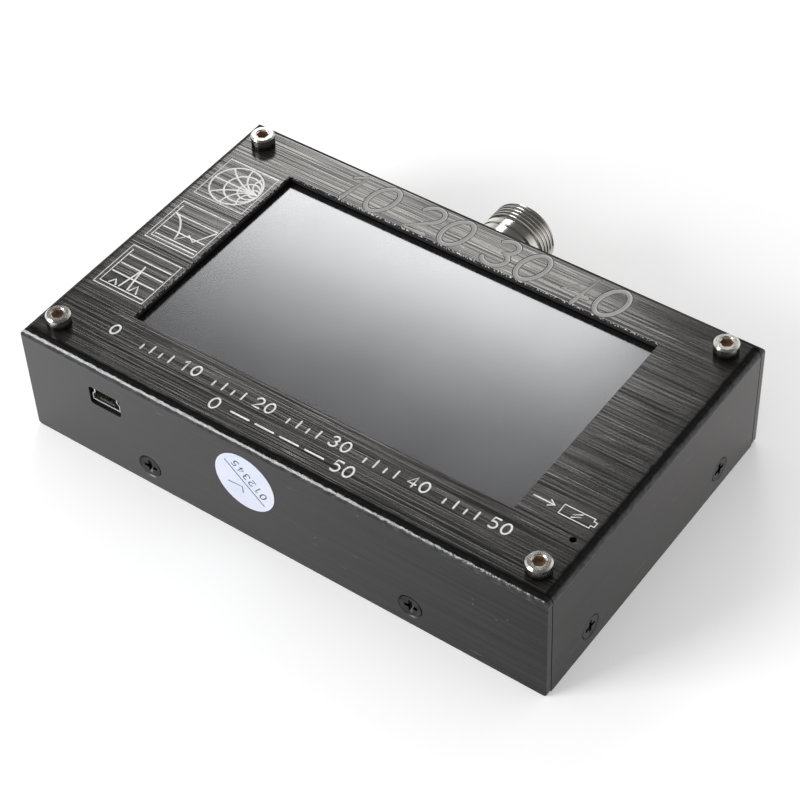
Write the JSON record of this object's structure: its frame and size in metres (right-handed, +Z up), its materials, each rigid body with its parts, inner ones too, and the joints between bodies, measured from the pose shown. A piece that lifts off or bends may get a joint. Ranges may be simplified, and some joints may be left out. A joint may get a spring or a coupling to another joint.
{
  "type": "antenna analyzer",
  "caption": "Flat folded-metal antenna analyzer with a touch screen under its window, a threaded coaxial port and a rocker switch on the rear wall, and a small USB socket in front.",
  "frame": {"origin": "centre of the case's bottom face", "axes": "+X to the right along the long side, +Y to the rear wall with the antenna port, +Z up through the screen"},
  "size_m": [0.133, 0.0979, 0.0318],
  "materials": {
    "case_sheet": "dark brushed anodised",
    "cover_sheet": "black anodised",
    "stainless": "turned stainless",
    "black_screws": "black oxide",
    "zinc": "zinc plated",
    "brass_plated": "nickel plated",
    "bare_brass": "bright",
    "gold": "gold plated",
    "sticker_paper": "matt paper",
    "foam": "closed-cell foam",
    "touch_film": "glossy",
    "lcd_metal": "bright",
    "lcd_cell": "polished",
    "guide_plastic": "white",
    "ribbon_film": "polyimide film",
    "socket_plastic": "moulded",
    "board_laminate": "solder resist",
    "chip_epoxy": "moulded epoxy",
    "solder_tin": "tinned",
    "ceramic_body": "sintered",
    "ferrite": "sintered",
    "lamp_epoxy": "clear tinted",
    "black_plastic": "moulded",
    "rocker_plastic": "moulded",
    "ptfe": "turned",
    "battery_wrap": "foil pouch",
    "tape_foam": "foam tape",
    "red_insulation": "extruded",
    "black_insulation": "extruded",
    "spring_steel": "drawn"
  },
  "bodies": {
    "case": {"top_cover": "case_sheet", "bottom_cover": "cover_sheet", "clinch_nuts": "zinc", "wall_screws": "black_screws", "cap_screws": "stainless", "board_spacers": "brass_plated", "board_washers": "zinc", "board_nuts": "zinc", "inspection_sticker": "sticker_paper", "window_gasket": "foam", "touch_panel": "touch_film", "lcd_frame": "lcd_metal", "lcd_glass": "lcd_cell", "light_guide": "guide_plastic", "screen_ribbon": "ribbon_film", "ribbon_socket": "socket_plastic", "screen_pads": "foam", "main_board": "board_laminate", "charge_lamp": "lamp_epoxy", "charge_lamp_legs": "solder_tin", "shield_can": "solder_tin", "processor": "chip_epoxy", "processor_pins": "solder_tin", "charger_chip": "chip_epoxy", "charger_pins": "solder_tin", "capacitors": "ceramic_body", "power_coil": "ferrite", "crystal": "solder_tin", "usb_shell": "solder_tin", "usb_tongue": "black_plastic", "usb_contacts": "gold", "port_body": "brass_plated", "port_insulator": "ptfe", "port_contact": "gold", "port_nut": "brass_plated", "port_lock_washer": "brass_plated", "switch_housing": "black_plastic", "switch_blades": "bare_brass", "switch_lead_supply": "red_insulation", "switch_lead_board": "black_insulation", "battery": "battery_wrap", "battery_tape": "tape_foam", "battery_lead_black": "black_insulation", "battery_lead_red": "red_insulation", "battery_plug": "socket_plastic", "battery_socket": "socket_plastic"},
    "rocker": {"switch_rocker": "rocker_plastic", "switch_plunger": "ptfe", "switch_spring": "spring_steel"},
    "contact_strip": {"switch_seesaw": "bare_brass"}
  },
  "joints": [
    {"name": "rocker_tilt", "type": "hinge", "parent": "case", "child": "rocker", "pos_m": [-0.05, 0.0406, 0.0098], "axis": [0, 0, 1], "range_deg": [0, 24]},
    {"name": "strip_tilt", "type": "hinge", "parent": "case", "child": "contact_strip", "pos_m": [-0.05, 0.03395, 0.0098], "axis": [0, 0, 1], "range_deg": [-16.1, 0]}
  ],
  "couplings": [
    {"joint": "strip_tilt", "follows": "rocker_tilt", "ratio": -0.66667}
  ]
}
